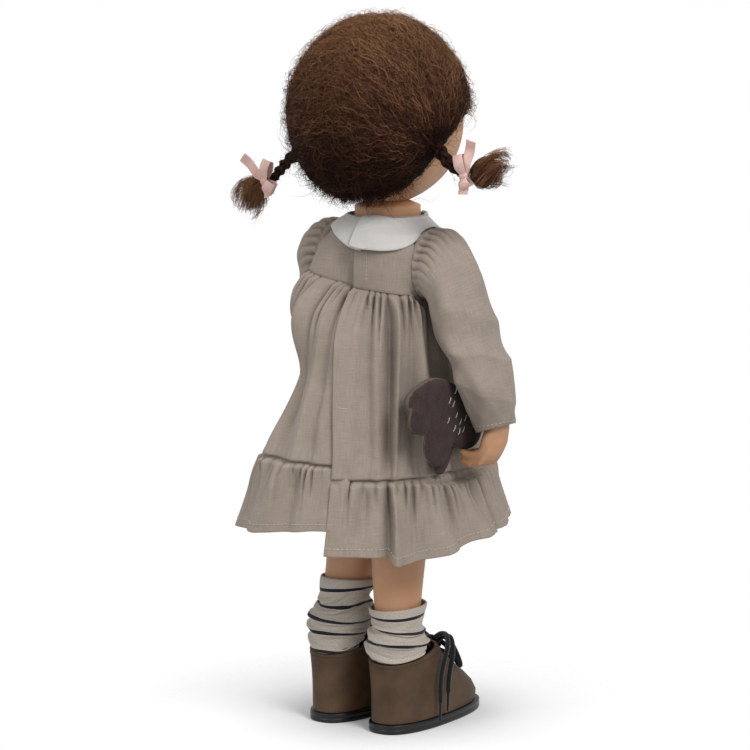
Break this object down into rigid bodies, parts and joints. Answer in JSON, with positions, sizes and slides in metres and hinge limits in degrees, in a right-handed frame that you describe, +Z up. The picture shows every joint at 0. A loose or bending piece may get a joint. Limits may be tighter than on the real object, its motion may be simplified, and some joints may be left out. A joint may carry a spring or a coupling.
{
  "type": "doll",
  "caption": "Dressed play doll with turning head, swinging arms and legs, braided wig, gathered dress, slouch socks, laced boots and a small felt toy in hand.",
  "frame": {"origin": "on the floor under the middle of the doll's box, measured without the laces' free ends", "axes": "+Z up from the soles to the crown, the doll faces -Y, its right hand is at -X"},
  "size_m": [0.1568, 0.1576, 0.3378],
  "materials": {
    "vinyl": "soft matt vinyl, skin tone",
    "hair": "curly dark brown mohair-like fibre",
    "clear_elastic": "clear elastic",
    "ribbon": "pale pink satin ribbon",
    "collar_cotton": "off-white cotton",
    "dress_linen": "washed taupe linen",
    "snap_metal": "small press studs",
    "eye": "glossy brown acrylic",
    "sock_knit": "oatmeal rib knit with thin dark stripes",
    "boot_leather": "soft brown leather",
    "boot_sole": "black rubber",
    "lace": "black waxed cord",
    "felt": "dark brown wool felt, stuffed"
  },
  "bodies": {
    "torso": {"torso": "vinyl", "yoke": "dress_linen", "collar_left": "collar_cotton", "collar_right": "collar_cotton", "skirt": "dress_linen", "ruffle": "dress_linen", "snap_stud_1": "snap_metal", "snap_socket_1": "snap_metal", "snap_stud_2": "snap_metal", "snap_socket_2": "snap_metal"},
    "head": {"head": "vinyl", "wig": "hair", "eye_left": "eye", "eye_right": "eye", "braid_left": "hair", "braid_right": "hair", "elastic_left": "clear_elastic", "elastic_right": "clear_elastic", "tuft_left": "hair", "tuft_right": "hair", "bow_left": "ribbon", "bow_right": "ribbon"},
    "right_arm": {"arm_right": "vinyl", "sleeve_right": "dress_linen", "toy_body": "felt", "toy_head": "felt", "toy_leg_hind_outer": "felt", "toy_leg_hind_inner": "felt", "toy_leg_front_outer": "felt", "toy_leg_front_inner": "felt", "toy_ear_outer": "felt", "toy_ear_inner": "felt"},
    "left_arm": {"arm_left": "vinyl", "sleeve_left": "dress_linen"},
    "right_leg": {"leg_right": "vinyl", "sock_right": "sock_knit", "boot_right": "boot_leather", "tongue_right": "boot_leather", "sole_right": "boot_sole", "lace_right": "lace", "lace_end_right_back": "lace", "aglet_right_back": "lace", "lace_end_right_front": "lace", "aglet_right_front": "lace"},
    "left_leg": {"leg_left": "vinyl", "sock_left": "sock_knit", "boot_left": "boot_leather", "tongue_left": "boot_leather", "sole_left": "boot_sole", "lace_left": "lace", "lace_end_left_back": "lace", "aglet_left_back": "lace", "lace_end_left_front": "lace", "aglet_left_front": "lace"}
  },
  "joints": [
    {"name": "head_turn", "type": "hinge", "parent": "torso", "child": "head", "pos_m": [-0.00033, 0.011, 0.2513], "axis": [0, 0, 1], "range_deg": [-80, 80]},
    {"name": "right_arm_swing", "type": "hinge", "parent": "torso", "child": "right_arm", "pos_m": [-0.00033, 0.011, 0.222], "axis": [-1, 0, 0], "range_deg": [-35, 75]},
    {"name": "left_arm_swing", "type": "hinge", "parent": "torso", "child": "left_arm", "pos_m": [-0.00033, 0.011, 0.222], "axis": [-1, 0, 0], "range_deg": [-75, 25]},
    {"name": "right_leg_swing", "type": "hinge", "parent": "torso", "child": "right_leg", "pos_m": [-0.00033, 0.013, 0.132], "axis": [-1, 0, 0], "range_deg": [-20, 45]},
    {"name": "left_leg_swing", "type": "hinge", "parent": "torso", "child": "left_leg", "pos_m": [-0.00033, 0.013, 0.132], "axis": [-1, 0, 0], "range_deg": [-20, 45]}
  ]
}
